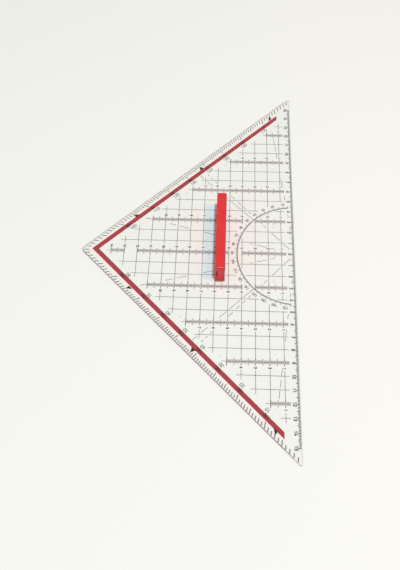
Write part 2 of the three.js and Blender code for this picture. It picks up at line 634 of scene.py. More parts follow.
@dataclass
class BarHandle:
    """The red bar: a foot, flanks drawn in to a waist, a rounded head, and two split pegs."""

    length: float = 68.2
    height: float = 18.4
    offset: float = 7.7
    setback: float = 56.3
    head_width: float = 7.4
    head_depth: float = 3.2
    head_rounding: float = 1.4
    waist: float = 6.2
    foot_width: float = 7.3
    foot_depth: float = 1.8
    foot_rounding: float = 0.25
    end_rounding: Span = (0.75, 0.35)  # of the end that looks to -X and of the other one
    rounding_steps: int = 6
    flank_steps: int = 12
    weld: float = 0.001  # points nearer than this are one
    smooth_angle: float = 35.0  # edges that turn more than this look sharp
    peg_radius: float = 2.3
    peg_length: float = 2.2
    peg_chamfer: float = 0.5
    peg_root: float = 0.5
    peg_steps: int = 40
    split_width: float = 0.9
    split_depth: float = 1.7
    split_run: float = 4.0  # how far down a split is cut
    overrun: float = 1.0  # how far a cut runs past a face
    peg_places: tuple[float, float] = (-23.0, 23.0)
    # The recess where the gate was cut off, in the end that looks to -X: how deep, wide and high it is, and its
    # middle's Y and Z.
    gate_size: tuple[float, float, float] = (1.6, 1.1, 8.0)
    gate_at: Place = (2.3, 9.5)

    def quarter(self, centre: Place, radius: float, start: float) -> list[Place]:
        """A quarter turn, anticlockwise.

        Args:
            centre: its centre.
            radius: its radius.
            start: the angle it starts at, in degrees.

        Returns:
            Its points.
        """
        steps = self.rounding_steps
        turns = [polar(radius, start + RIGHT_ANGLE * i / steps) for i in range(steps + 1)]
        return [(centre[0] + y, centre[1] + z) for y, z in turns]

    def section(self, inset: float = 0.0) -> list[Place]:
        """The section in Y and Z above the plate.

        Args:
            inset: how far it is drawn in all round.

        Returns:
            Its points, anticlockwise as seen from +X, and as many for every inset.
        """
        shoulder = self.height - self.head_depth
        flank = smoothed(
            [
                (self.foot_width / 2, self.foot_depth),
                (self.waist / 2, (self.foot_depth + shoulder) / 2),
                (self.head_width / 2, shoulder),
            ],
            self.flank_steps,
        )
        foot, head = max(self.foot_rounding - inset, 0.0), self.head_rounding
        right = [
            *self.quarter((self.foot_width / 2 - inset - foot, inset + foot), foot, -90),
            *self.drawn_in(flank, inset),
            *self.quarter((self.head_width / 2 - head, self.height - head), head - inset, 0),
        ]
        return right + [(-y, z) for y, z in reversed(right)]

    @staticmethod
    def drawn_in(path: Sequence[Place], inset: float) -> list[Place]:
        """Move a path square to itself, to its left.

        Args:
            path: the path's points.
            inset: how far it is moved.

        Returns:
            The moved points.
        """
        moved = []
        for i, here in enumerate(path):
            along = Vector(path[min(i + 1, len(path) - 1)]) - Vector(path[max(i - 1, 0)])
            aside = Vector((-along.y, along.x)).normalized() * inset
            moved.append((here[0] + aside.x, here[1] + aside.y))
        return moved

    def stations(self) -> list[Place]:
        """Lay out the sections along the bar.

        Returns:
            For each from end to end, its place along X and how far it is drawn in.
        """
        angles = [math.pi / 2 * i / self.rounding_steps for i in range(self.rounding_steps + 1)]
        start, end = (
            [(radius * (1 - math.cos(a)) - self.length / 2, radius * (1 - math.sin(a))) for a in angles]
            for radius in self.end_rounding
        )
        return start + [(-x, inset) for x, inset in reversed(end)]

    def bar(self, at: "Mounting") -> bmesh.types.BMesh:
        """The bar without its pegs, its ends rounded over.

        Args:
            at: where the handle stands.

        Returns:
            The bar in metres.
        """
        mesh = bmesh.new()
        skin(mesh, [[at.point(x, y, z) for y, z in self.section(inset)] for x, inset in self.stations()])
        bmesh.ops.remove_doubles(mesh, verts=mesh.verts, dist=self.weld * MM)
        bmesh.ops.recalc_face_normals(mesh, faces=mesh.faces)
        return mesh

    def pegs(self, plate: ClearPlate) -> bmesh.types.BMesh:
        """Make both pegs as closed turned forms, rooted in the foot.

        Args:
            plate: the plate that they clip into.

        Returns:
            The pegs in metres.
        """
        mesh = bmesh.new()
        top = plate.nub_height + plate.thickness
        profile = [
            (self.peg_radius - self.peg_chamfer, top - self.peg_length),
            (self.peg_radius, top - self.peg_length + self.peg_chamfer),
            (self.peg_radius, top + self.peg_root),
        ]
        for x in self.peg_places:
            plate.turned(mesh, (self.offset + x, self.setback), profile, self.peg_steps)
        return mesh

    def cuts(self, at: "Mounting") -> bmesh.types.BMesh:
        """Make what is cut away: the splits in the pegs and the gate's recess in the near end.

        Args:
            at: where the handle stands.

        Returns:
            The blocks in metres.
        """
        mesh = bmesh.new()
        split = (self.split_width, 2 * (self.peg_radius + self.overrun), self.split_run)
        top = self.split_depth - self.peg_length
        blocks = [((x, 0, top - split[2] / 2), split) for x in self.peg_places]
        depth, width, height = self.gate_size
        blocks.append(((-self.length / 2, *self.gate_at), (2 * depth, width, height)))
        for centre, size in blocks:
            made = bmesh.ops.create_cube(mesh, size=1.0)["verts"]
            scale = Matrix.Diagonal((*(Vector(size) * MM), 1))
            bmesh.ops.transform(mesh, verts=made, matrix=Matrix.Translation(at.point(*centre)) @ scale)
        return mesh

    def build(self, plate: ClearPlate) -> bpy.types.Object:
        """Make the handle's piece.

        Args:
            plate: the plate that it clips into.

        Returns:
            The handle as one closed solid, dressed and riding on its body.
        """
        at = Mounting(self.offset, self.setback, plate.nub_height + plate.thickness, plate)
        handle = drawn(self.bar(at), "red_handle", RED_ABS)
        tools = {"peg_tool": (self.pegs(plate), "UNION"), "cut_tool": (self.cuts(at), "DIFFERENCE")}
        carve(handle, RED_ABS, tools)
        handle.data.shade_smooth()
        handle.data.set_sharp_from_angle(angle=math.radians(self.smooth_angle))
        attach(handle, "handle")
        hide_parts("handle")
        LOG.info("red_handle: %d faces", len(handle.data.polygons))
        return handle


@dataclass
class Mounting:
    """Where the handle's own middle stands on the plate."""

    x: float
    v: float
    z: float
    plate: ClearPlate

    def point(self, x: float, y: float, z: float) -> Vector:
        """A point of the handle, in millimetres from its middle, in the part's frame in metres."""
        return self.plate.at(self.x + x, self.v + y, self.z + z)


# ---------------------------------------------------------------- printing with geometry nodes


TICK_SLACK = 0.25  # how far a tick may lie off the whole number that it counts as


class InkTree:
    """A geometry-node tree that prints ink bars, with its sizes as named inputs."""

    def __init__(self, name: str, numbers: Sequence[str]) -> None:
        """Start the tree.

        Args:
            name: the tree's name.
            numbers: the names of its inputs, which are all numbers.
        """
        self.tree = bpy.data.node_groups.new(name, "GeometryNodeTree")
        self.node = partial(add_node, self.tree)
        face = self.tree.interface
        face.new_socket("Places", in_out="INPUT", socket_type="NodeSocketGeometry")
        made = {n: face.new_socket(n, in_out="INPUT", socket_type="NodeSocketFloat") for n in numbers}
        made["Ink"] = face.new_socket("Ink", in_out="INPUT", socket_type="NodeSocketMaterial")
        face.new_socket("Print", in_out="OUTPUT", socket_type="NodeSocketGeometry")
        self.identifiers = {n: socket.identifier for n, socket in made.items()}
        given = self.node("NodeGroupInput").outputs
        self.points, self.ink = given["Places"], given["Ink"]
        self.known: dict[str, Any] = {n: given[n] for n in numbers}
        self.known["Index"] = self.node("GeometryNodeInputIndex").outputs[0]

    def work_out(self, *sums: str) -> None:
        """Work out sums for each bar, in order.

        Args:
            *sums: each as "name = OPERATION term term", where a term is an input, an earlier name or a number.
        """
        for line in sums:
            name, _, operation, *terms = line.split()
            values = {i: self.known[t] if t in self.known else float(t) for i, t in enumerate(terms)}
            self.known[name] = self.node("ShaderNodeMath", values, operation=operation).outputs[0]

    def lengths(self) -> None:
        """Work out each tick's length: every fifth is Middle, every tenth is Long, and the rest are Short."""
        self.work_out(f"near = ADD number {TICK_SLACK}", "length = ADD Short 0")
        for every, longer, shorter in ((5, "Middle", "Short"), (10, "Long", "Middle")):
            self.work_out(
                f"rest = FLOORED_MODULO near {every}",
                f"here = LESS_THAN rest {2 * TICK_SLACK}",
                f"extra = SUBTRACT {longer} {shorter}",
                "extra = MULTIPLY here extra",
                "length = ADD length extra",
            )

    def place(self, *names: str) -> None:
        """Set out as many points as Count says.

        Args:
            *names: what was worked out for their X and Y.
        """
        row = self.node("GeometryNodePoints", {0: self.known["Count"]}).outputs[0]
        at = self.node("ShaderNodeCombineXYZ", {i: self.known[n] for i, n in enumerate(names)}).outputs[0]
        self.points = self.node("GeometryNodeSetPosition", {"Geometry": row, "Position": at}).outputs[0]

    def finish(self, size: Sequence[str], turn: str | None = None) -> "InkTree":
        """End the tree: one ink bar on each point, realised and inked.

        Args:
            size: what was worked out for each bar's three sizes.
            turn: the same for its turn about Z in radians, or None for bars that aren't turned.

        Returns:
            The tree itself.
        """
        bar = self.node("GeometryNodeMeshCube").outputs[0]
        scale = self.node("ShaderNodeCombineXYZ", {i: self.known[n] for i, n in enumerate(size)}).outputs[0]
        turned = self.node("ShaderNodeCombineXYZ", {2: self.known[turn] if turn else 0.0}).outputs[0]
        spin = self.node("FunctionNodeEulerToRotation", {0: turned}).outputs[0]
        bars = self.node(
            "GeometryNodeInstanceOnPoints",
            {"Points": self.points, "Instance": bar, "Rotation": spin, "Scale": scale},
        )
        real = self.node("GeometryNodeRealizeInstances", {0: bars.outputs[0]})
        inked = self.node("GeometryNodeSetMaterial", {"Geometry": real.outputs[0], "Material": self.ink})
        self.node("NodeGroupOutput", {0: inked.outputs[0]})
        return self

    def run(self, base: bpy.types.Mesh, ink: Finish, **numbers: float) -> bpy.types.Mesh:
        """Print once and keep the result.

        Args:
            base: the mesh whose points the tree may read.
            ink: the ink.
            **numbers: the inputs' values, in millimetres, degrees or counts as their names say.

        Returns:
            A plain mesh in millimetres.
        """
        holder = bpy.data.objects.new(self.tree.name, base)
        bpy.context.scene.collection.objects.link(holder)
        press = holder.modifiers.new(self.tree.name, "NODES")
        press.node_group = self.tree
        for name, value in numbers.items():
            press[self.identifiers[name]] = float(value)
        press[self.identifiers["Ink"]] = ink.material()
        printed = evaluated(holder)
        bpy.data.objects.remove(holder)
        return printed


def straight_scale() -> InkTree:
    """A row of ticks along X: Side 1 puts them on the +Y side of the row, -1 on the other, and 0 across it.

    Returns:
        The tree.
    """
    names = ["Count", "First", "Spacing", "Short", "Middle", "Long", "Side", "Width", "Film"]
    tree = InkTree("straight_scale", names)
    tree.work_out("number = ADD Index First")
    tree.lengths()
    tree.work_out("along = MULTIPLY number Spacing", "half = MULTIPLY length 0.5", "aside = MULTIPLY half Side")
    tree.place("along", "aside")
    return tree.finish(("Width", "length", "Film"))


def fan_scale() -> InkTree:
    """Ticks that point to the origin, one for each Step of degrees.

    Reach is where they start and their lengths run outwards, or inwards if negative. Straight 0 measures both as
    radius, along an arc. Straight 1 measures both as x plus v, along a leg at 45 degrees.

    Returns:
        The tree.
    """
    names = ["Count", "First", "Step", "Reach", "Short", "Middle", "Long", "Straight", "Width", "Film"]
    tree = InkTree("fan_scale", names)
    tree.work_out(
        "turned = MULTIPLY Index Step", "number = ADD turned First", "angle = RADIANS number",
        "cosine = COSINE angle", "sine = SINE angle", "wide = ABSOLUTE cosine", "high = ABSOLUTE sine",
        "sum = ADD wide high", "excess = SUBTRACT sum 1", "used = MULTIPLY excess Straight", "spread = ADD used 1",
    )
    tree.lengths()
    tree.work_out(
        "half = MULTIPLY length 0.5", "middle = ADD Reach half", "radius = DIVIDE middle spread",
        "x = MULTIPLY cosine radius", "y = MULTIPLY sine radius",
        "drawn = ABSOLUTE length", "reach = DIVIDE drawn spread",
    )
    tree.place("x", "y")
    return tree.finish(("reach", "Width", "Film"), "angle")


def ruled_lines() -> InkTree:
    """One bar on each given point, as long and as turned as the point's own attributes say.

    Returns:
        The tree.
    """
    tree = InkTree("ruled_lines", ["Width", "Film"])
    for name in ("line_length", "line_turn"):
        read = tree.node("GeometryNodeInputNamedAttribute", {"Name": name}, data_type="FLOAT")
        tree.known[name] = read.outputs[0]
    return tree.finish(("line_length", "Width", "Film"), "line_turn")


@dataclass(frozen=True)
class Rule:
    """One ruled line from a place to another."""

    start: Place
    end: Place

    @property
    def length(self) -> float:
        """How long it is."""
        return math.dist(self.start, self.end)

    @property
    def turn(self) -> float:
        """Its direction in radians."""
        return math.atan2(self.end[1] - self.start[1], self.end[0] - self.start[0])

    @staticmethod
    def radial(angle: float, span: Span) -> "Rule":
        """A line on a ray from the origin, at an angle in degrees, between two distances."""
        return Rule(*(polar(radius, angle) for radius in span))


class Layer(Enum):
    """How high a print lies above the paper, in millimetres, just inside the plate's underside.

    Black went on before red. The fine ticks lie under the black lines, which so stay whole where they cross.
    """

    BLACK = 0.432
    FINE = 0.418
    RED = 0.412


@dataclass
class Printing:
    """The press: it gathers printed meshes into one piece and lays them on the plate's underside."""

    plate: ClearPlate
    film: float = 0.012
    line: float = 0.29
    mitre: float = 0.6  # the least cosine that a bend is mitred by
    overshoot: float = 0.35  # how far a stroke runs past its ends, in pen widths
    straight: InkTree = field(default_factory=straight_scale)
    fan: InkTree = field(default_factory=fan_scale)
    ruled: InkTree = field(default_factory=ruled_lines)

    def scale_row(self, start: Place, turn: float, ink: Finish = BLACK_INK, **sizes: float) -> bpy.types.Mesh:
        """Print a straight scale.

        Args:
            start: where the scale's number 0 lies.
            turn: the scale's direction, in degrees.
            ink: its ink.
            **sizes: the tree's inputs.

        Returns:
            The scale in drawing millimetres.
        """
        sizes.setdefault("Width", self.line)
        printed = self.straight.run(bpy.data.meshes.new("row"), ink, Film=self.film, **sizes)
        printed.transform(Matrix.Translation((*start, 0)) @ Matrix.Rotation(math.radians(turn), 4, "Z"))
        return printed

    def scale_fan(self, ink: Finish = BLACK_INK, **sizes: float) -> bpy.types.Mesh:
        """Print ticks that point to the origin, in drawing millimetres."""
        sizes.setdefault("Width", self.line)
        return self.fan.run(bpy.data.meshes.new("fan"), ink, Film=self.film, **sizes)

    def lines(self, rules: Iterable[Rule], width: float | None = None, ink: Finish = BLACK_INK) -> bpy.types.Mesh:
        """Print ruled lines.

        Args:
            rules: the lines.
            width: their width, or None for the usual one.
            ink: their ink.

        Returns:
            The lines in drawing millimetres.
        """
        rules = list(rules)
        base = bpy.data.meshes.new("lines")
        middles = [((r.start[0] + r.end[0]) / 2, (r.start[1] + r.end[1]) / 2, 0) for r in rules]
        base.from_pydata(middles, [], [])
        for name, values in (("line_length", [r.length for r in rules]), ("line_turn", [r.turn for r in rules])):
            base.attributes.new(name, "FLOAT", "POINT").data.foreach_set("value", values)
        return self.ruled.run(base, ink, Width=width or self.line, Film=self.film)

    def flat(self, outlines: Iterable[Sequence[Place]]) -> bpy.types.Mesh:
        """Print closed outlines as films of ink.

        Args:
            outlines: each one's corners in drawing millimetres, anticlockwise.

        Returns:
            The films in drawing millimetres.
        """
        mesh = bmesh.new()
        for outline in outlines:
            skin(mesh, [[(x, v, z) for x, v in outline] for z in (-self.film / 2, self.film / 2)])
        return plain(mesh, "flat")

    def ribbon(self, mesh: bmesh.types.BMesh, path: Sequence[Place], width: float, closed: bool) -> None:
        """Add a stroke of a pen as a closed film.

        Args:
            mesh: a bmesh in drawing millimetres.
            path: the stroke's middle line.
            width: the pen's width.
            closed: True if the stroke ends where it starts.
        """
        count = len(path)
        at = [Vector(p) for p in path]
        rails = []
        for i, here in enumerate(at):
            before = at[(i - 1) % count] if closed or i else here
            after = at[(i + 1) % count] if closed or i < count - 1 else here
            ahead = [d.normalized() for d in (here - before, after - here) if d.length]
            along = sum(ahead, Vector((0, 0))).normalized()
            aside = Vector((-along.y, along.x)) * width / 2 / max(along.dot(ahead[0]), self.mitre)
            if not closed and i in (0, count - 1):
                here = here + along * width * (self.overshoot if i else -self.overshoot)
            corners = ((-1, 1), (1, 1), (1, -1), (-1, -1))
            rails.append([(*(here + aside * side), z * self.film / 2) for side, z in corners])
        skin(mesh, rails, looped=closed)

    def lay(
        self, name: str, meshes: Iterable[bpy.types.Mesh], layer: Layer = Layer.BLACK, ink: Finish = BLACK_INK
    ) -> bpy.types.Object:
        """Join printed meshes into one piece on the plate's underside.

        Args:
            name: the piece's name.
            meshes: the prints in drawing millimetres, which are used up.
            layer: how high they lie.
            ink: the ink of all of them.

        Returns:
            The piece, riding on the plate.
        """
        joined = bmesh.new()
        for printed in meshes:
            joined.from_mesh(printed)
            bpy.data.meshes.remove(printed)
        for face in joined.faces:
            face.material_index = 0
        to_frame = Matrix.Translation(self.plate.at(0, 0, layer.value)) @ Matrix.Scale(MM, 4)
        bmesh.ops.transform(joined, matrix=to_frame, verts=joined.verts)
        bmesh.ops.recalc_face_normals(joined, faces=joined.faces)
        piece = drawn(joined, name, ink)
        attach(piece, "plate")
        LOG.info("%s: %d faces", name, len(piece.data.polygons))
        return piece


# ---------------------------------------------------------------- lettering


STENCIL_HEIGHT = 10


@dataclass(frozen=True)
class Stroke:
    """One pen stroke of a digit, in tenths of its height."""

    points: tuple[Place, ...]
    curved: bool = False
    closed: bool = False

    def path(self, steps: int = 2) -> list[Place]:
        """The stroke's middle line."""
        return smoothed(self.points, steps, self.closed) if self.curved else list(self.points)

    def turned_over(self, width: float) -> "Stroke":
        """The stroke turned half round in a digit of that width."""
        return Stroke(tuple((width - x, STENCIL_HEIGHT - y) for x, y in self.points), self.curved, self.closed)


def stencil_digits() -> dict[str, tuple[Stroke, ...]]:
    """Draw the ten digits as a draughtsman's stencil does.

    Returns:
        Each digit's strokes.
    """
    six = (
        Stroke(((4.4, 10.0), (2.2, 7.9), (0.6, 5.2), (0.0, 3.1), (0.8, 0.8), (2.8, 0.0), (4.8, 0.8), (5.6, 3.0),
                (4.8, 5.1), (2.8, 5.9), (1.0, 5.3), (0.1, 3.9)), curved=True),
    )
    return {
        "0": (Stroke(((2.8, 10.0), (0.8, 9.0), (0.0, 6.8), (0.0, 3.2), (0.8, 1.0), (2.8, 0.0), (4.8, 1.0),
                      (5.6, 3.2), (5.6, 6.8), (4.8, 9.0)), curved=True, closed=True),),
        "1": (Stroke(((1.0, 7.9), (3.3, 10.0), (3.3, 0.0))),),
        "2": (
            Stroke(((0.2, 7.5), (0.9, 9.3), (2.8, 10.0), (4.8, 9.2), (5.4, 7.4), (4.6, 5.4), (2.4, 2.9),
                    (0.1, 0.1)), curved=True),
            Stroke(((0.0, 0.0), (5.6, 0.0))),
        ),
        "3": (
            Stroke(((0.3, 8.7), (1.3, 9.8), (2.9, 10.0), (4.7, 9.2), (5.2, 7.6), (4.5, 6.0), (2.6, 5.4)),
                   curved=True),
            Stroke(((2.6, 5.4), (4.7, 4.8), (5.6, 2.9), (4.8, 0.8), (2.8, 0.0), (1.0, 0.4), (0.0, 1.7)),
                   curved=True),
        ),
        "4": (Stroke(((3.4, 10.0), (0.0, 2.8), (5.7, 2.8))), Stroke(((4.1, 5.2), (4.1, 0.0)))),
        "5": (
            Stroke(((5.1, 10.0), (0.9, 10.0), (0.5, 5.5))),
            Stroke(((0.5, 5.5), (2.7, 6.2), (4.8, 5.4), (5.6, 3.2), (4.8, 0.9), (2.7, 0.0), (0.9, 0.4),
                    (0.0, 1.5)), curved=True),
        ),
        "6": six,
        "7": (Stroke(((0.0, 10.0), (5.6, 10.0), (1.9, 0.0))),),
        "8": (
            Stroke(((2.8, 10.0), (1.1, 9.3), (0.5, 7.7), (1.1, 6.1), (2.8, 5.5), (4.5, 6.1), (5.1, 7.7),
                    (4.5, 9.3)), curved=True, closed=True),
            Stroke(((2.8, 5.5), (0.8, 4.7), (0.0, 2.8), (0.8, 0.7), (2.8, 0.0), (4.8, 0.7), (5.6, 2.8),
                    (4.8, 4.7)), curved=True, closed=True),
        ),
        "9": tuple(stroke.turned_over(5.6) for stroke in six),
    }


@dataclass
class Lettering:
    """Numbers drawn with a pen along a stencil."""

    press: Printing
    digits: dict[str, tuple[Stroke, ...]] = field(default_factory=stencil_digits)
    digit_width: float = 5.6
    gap: float = 2.4

    def write(self, numbers: Iterable[tuple[int, Place, float]], height: float, pen: float) -> bpy.types.Mesh:
        """Write numbers centred on their places.

        Args:
            numbers: each number, its place and the direction it reads in, in degrees.
            height: the digits' height.
            pen: the stroke's width.

        Returns:
            The numbers in drawing millimetres.
        """
        mesh = bmesh.new()
        unit = (height - pen) / STENCIL_HEIGHT
        pitch = self.digit_width + self.gap
        for number, place, turn in numbers:
            text = str(number)
            width = pitch * len(text) - self.gap
            to_place = (
                Matrix.Translation(Vector(place).to_3d())
                @ Matrix.Rotation(math.radians(turn), 4, "Z")
                @ Matrix.Scale(unit, 4)
                @ Matrix.Translation((-width / 2, -STENCIL_HEIGHT / 2, 0))
            )
            for i, digit in enumerate(text):
                for stroke in self.digits[digit]:
                    path = [(to_place @ Vector((x + pitch * i, y, 0))).to_2d()[:] for x, y in stroke.path()]
                    self.press.ribbon(mesh, path, pen, stroke.closed)
        return plain(mesh, "numbers")


# ---------------------------------------------------------------- the drawing


@dataclass
class EdgeScale:
    """The centimetre scale along the long edge, read from its middle to both sides."""

    half: int = 150
    start: float = 0.5
    short: float = 1.35
    long: float = 2.1
    tick: float = 0.55
    number_v: float = 3.9
    number_height: float = 2.7
    pen: float = 0.5

    def build(self, press: Printing, hand: Lettering) -> None:
        """Print the ticks and write their numbers.

        Args:
            press: the press that prints it.
            hand: the hand that writes its numbers.
        """
        ticks = press.scale_row(
            (0, self.start), 0, Count=2 * self.half + 1, First=-self.half, Spacing=1, Side=1, Width=self.tick,
            Short=self.short, Middle=self.long, Long=self.long,
        )
        press.lay("edge_scale_ticks", [ticks])
        last = self.half // MM_PER_CM
        numbers = [(abs(cm), (cm * MM_PER_CM, self.number_v), READ_FROM_APEX) for cm in range(-last, last + 1)]
        press.lay("edge_scale_numbers", [hand.write(numbers, self.number_height, self.pen)])


@dataclass
class AngleScales:
    """The degree scales along both legs, the red stripe inside them, and the stripe's marks and numbers."""

    reach: float = 161.9
    short: float = 3.3
    middle: float = 4.5
    long: float = 5.7
    # Of the right and the left leg: how many ticks, the first one's degrees, how wide they are, and how far they lie
    # off their degrees.
    count: tuple[int, int] = (89, 89)
    first: tuple[int, int] = (1, 91)
    ticks: Span = (0.66, 0.74)
    slip: Span = (-0.12, -0.05)
    top_tick: Span = (157.0, 161.5)
    # The red screen lies a little turned and off from the black one: its right end, tip and left end.
    stripe_inside: tuple[Place, Place, Place] = ((138.1, 11.3), (0.95, 149.5), (-139.6, 11.3))
    stripe_outside: tuple[Place, Place, Place] = ((142.65, 11.3), (1.0, 154.7), (-144.4, 11.3))
    label_sum: float = 146.85
    label_height: float = 2.7
    label_pen: float = 0.33
    inner_sum: float = 151.9
    inner_height: float = 2.6
    inner_pen: float = 0.5
    mark_angles: tuple[float, ...] = (7.0, 42.0, 75.0)
    mark_sum: float = 154.8
    mark_width: float = 3.8
    mark_reach: float = 4.8

    def on_leg(self, angle: float, total: float) -> Place:
        """The place at an angle in degrees where the sizes of x and v add up to a total."""
        return polar(total / sum(abs(part) for part in polar(1.0, angle)), angle)

    def stripe_halves(self) -> list[list[Place]]:
        """Draw both halves of the stripe, mitred at the right angle and cut level at its ends.

        Returns:
            Each half's corners.
        """
        (right_in, tip_in, left_in), (right_out, tip_out, left_out) = self.stripe_inside, self.stripe_outside
        return [[right_in, right_out, tip_out, tip_in], [tip_in, tip_out, left_out, left_in]]

    def mark(self, angle: float) -> list[Place]:
        """Draw a mark: a triangle on the stripe's outer side that points out along its ray.

        Args:
            angle: the ray's angle in degrees.

        Returns:
            The mark's corners.
        """
        foot, tip = (Vector(self.on_leg(angle, self.mark_sum + t)) for t in (0.0, self.mark_reach))
        along = Vector((1, -1) if angle < RIGHT_ANGLE else (1, 1)).normalized() * self.mark_width / 2
        return [tuple(foot - along), tuple(foot + along), tuple(tip)]

    def build(self, press: Printing, hand: Lettering) -> None:
        """Print the ticks, the stripe, its marks and both rows of numbers.

        Args:
            press: the press that prints it.
            hand: the hand that writes its numbers.
        """
        ticks = [
            press.scale_fan(
                THIN_INK, Count=count, First=first + slip, Step=1, Reach=self.reach, Straight=1, Width=width,
                Short=-self.short, Middle=-self.middle, Long=-self.long,
            )
            for count, first, slip, width in zip(self.count, self.first, self.slip, self.ticks)
        ]
        ticks.append(press.lines([Rule.radial(RIGHT_ANGLE, self.top_tick)], self.ticks[0], THIN_INK))
        press.lay("angle_scale_ticks", ticks, ink=THIN_INK)
        press.lay("red_stripe", [press.flat(self.stripe_halves())], Layer.RED, RED_INK)
        angles = [a for base in self.mark_angles for a in (base, 180 - base)]
        press.lay("angle_marks", [press.flat(self.mark(a) for a in angles)])
        labels, inner = [], []
        for angle in (a for a in TENS if a != RIGHT_ANGLE):
            turn = -LEG_TURN if angle < RIGHT_ANGLE else LEG_TURN
            labels.append((180 - angle, self.on_leg(angle, self.label_sum), turn))
            inner.append((angle, self.on_leg(angle, self.inner_sum), turn))
        written = [
            hand.write(labels, self.label_height, self.label_pen),
            hand.write(inner, self.inner_height, self.inner_pen),
        ]
        press.lay("angle_scale_numbers", written)


@dataclass
class Protractor:
    """The half-round degree scale about the middle of the long edge."""

    radius: float = 43.6
    short: float = 0.9
    long: float = 2.0
    tick: float = 0.33
    first: int = 6
    arc_width: float = 0.36
    arc_steps: int = 170
    label_radius: float = 47.4
    label_height: float = 2.1
    label_pen: float = 0.34
    label_clear: float = 3.2
    foot_v: float = 4.3
    foot: Span = (43.2, 45.6)

    def label_places(self) -> dict[int, Place]:
        """Where each number is centred."""
        return {a: polar(self.label_radius, a) for a in TENS}

    def arc(self, press: Printing) -> bpy.types.Mesh:
        """Print the arc itself, as one pen stroke.

        Args:
            press: the press that prints it.

        Returns:
            The arc in drawing millimetres.
        """
        low = math.degrees(math.asin(self.foot_v / self.radius))
        turns = [low + (180 - 2 * low) * i / self.arc_steps for i in range(self.arc_steps + 1)]
        mesh = bmesh.new()
        press.ribbon(mesh, [polar(self.radius, turn) for turn in turns], self.arc_width, closed=False)
        return plain(mesh, "arc")

    def build(self, press: Printing, hand: Lettering) -> None:
        """Print the arc with its ticks, and write its numbers with their tops outwards.

        Args:
            press: the press that prints it.
            hand: the hand that writes its numbers.
        """
        ticks = press.scale_fan(
            Count=181 - 2 * self.first, First=self.first, Step=1, Reach=self.radius, Straight=0,
            Width=self.tick, Short=self.short, Middle=self.long, Long=self.long,
        )
        feet = press.lines(
            [Rule((s * self.foot[0], self.foot_v), (s * self.foot[1], self.foot_v)) for s in (1, -1)]
        )
        press.lay("protractor_arc", [self.arc(press), ticks, feet])
        numbers = [(a, place, a - RIGHT_ANGLE) for a, place in self.label_places().items()]
        press.lay("protractor_numbers", [hand.write(numbers, self.label_height, self.label_pen)])


